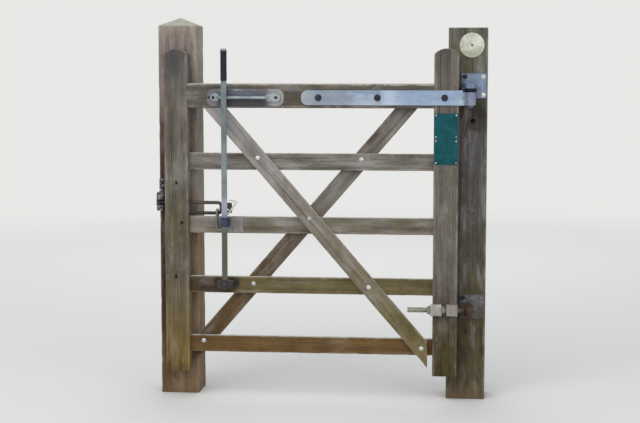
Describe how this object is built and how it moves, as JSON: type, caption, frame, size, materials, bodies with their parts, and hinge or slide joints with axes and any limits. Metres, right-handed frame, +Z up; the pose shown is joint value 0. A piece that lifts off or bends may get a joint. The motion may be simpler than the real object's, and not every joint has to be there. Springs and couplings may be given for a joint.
{
  "type": "timber hand gate with lever latch",
  "caption": "Weathered timber hand gate with crossed braces and a rider's lever latch, hung on hook-and-eye hinges from the faces of square posts.",
  "frame": {"origin": "centre of the hinge post's foot, at ground level", "axes": "+Z up; +X along the closed gate from the latch post towards the hinge post; +Y away from the side that the leaf opens to"},
  "size_m": [1.353, 0.299, 1.57],
  "materials": {
    "post_timber": "weathered, sawn",
    "stile_timber": "weathered, planed",
    "rail_timber": "weathered, sawn",
    "galvanised_steel": "hot-dip galvanised, dulled",
    "dark_steel": "dull, rust-stained",
    "grip_plastic": "moulded",
    "notice_plate": "satin",
    "disc_plastic": "weathered"
  },
  "bodies": {
    "posts": {"hinge_post": "post_timber", "latch_post": "post_timber", "waymark_disc": "disc_plastic", "top_hook_plate": "galvanised_steel", "top_hook_pin": "galvanised_steel", "top_hook_bush": "dark_steel", "bottom_hook_plate": "galvanised_steel", "bottom_hook_pin": "dark_steel", "latch_catch_plate": "galvanised_steel", "latch_catch_jaws": "galvanised_steel", "latch_catch_stop": "galvanised_steel", "latch_catch_tooth": "galvanised_steel"},
    "leaf": {"heel_stile": "stile_timber", "head_stile": "stile_timber", "top_rail": "rail_timber", "second_rail": "rail_timber", "middle_rail": "rail_timber", "fourth_rail": "rail_timber", "bottom_rail": "rail_timber", "front_brace": "rail_timber", "rear_brace": "rail_timber", "top_strap": "galvanised_steel", "bottom_eye_bolt": "dark_steel", "bottom_clamp_blocks": "galvanised_steel", "bottom_eye_nuts": "dark_steel", "guide_backplate": "galvanised_steel", "guide_rod": "galvanised_steel", "lever_pivot_bracket": "dark_steel", "lever_pivot_pin": "dark_steel", "lever_wear_plate": "galvanised_steel", "bolt_staple": "dark_steel", "upper_notice": "notice_plate", "lower_notice": "notice_plate"},
    "lever": {"lever_bar": "galvanised_steel", "lever_grip": "grip_plastic", "lever_guide_lug": "galvanised_steel", "lever_collar": "dark_steel", "lever_drive_pin": "dark_steel", "lever_hook": "galvanised_steel"},
    "bolt": {"latch_bolt": "dark_steel", "bolt_yoke": "dark_steel"}
  },
  "joints": [
    {"name": "leaf_swing", "type": "hinge", "parent": "posts", "child": "leaf", "pos_m": [0.011, -0.133, 0.8], "axis": [0, 0, 1], "range_deg": [0, 110]},
    {"name": "lever_pull", "type": "hinge", "parent": "leaf", "child": "lever", "pos_m": [-0.98, -0.204, 0.483], "axis": [0, 1, 0], "range_deg": [0, 10], "stiffness_Nm_per_rad": 60, "springref_deg": -8.59},
    {"name": "bolt_slide", "type": "slide", "parent": "leaf", "child": "bolt", "axis": [1, 0, 0], "range_m": [0, 0.054]}
  ],
  "couplings": [
    {"joint": "bolt_slide", "follows": "lever_pull", "m_per_rad": 0.3065}
  ]
}
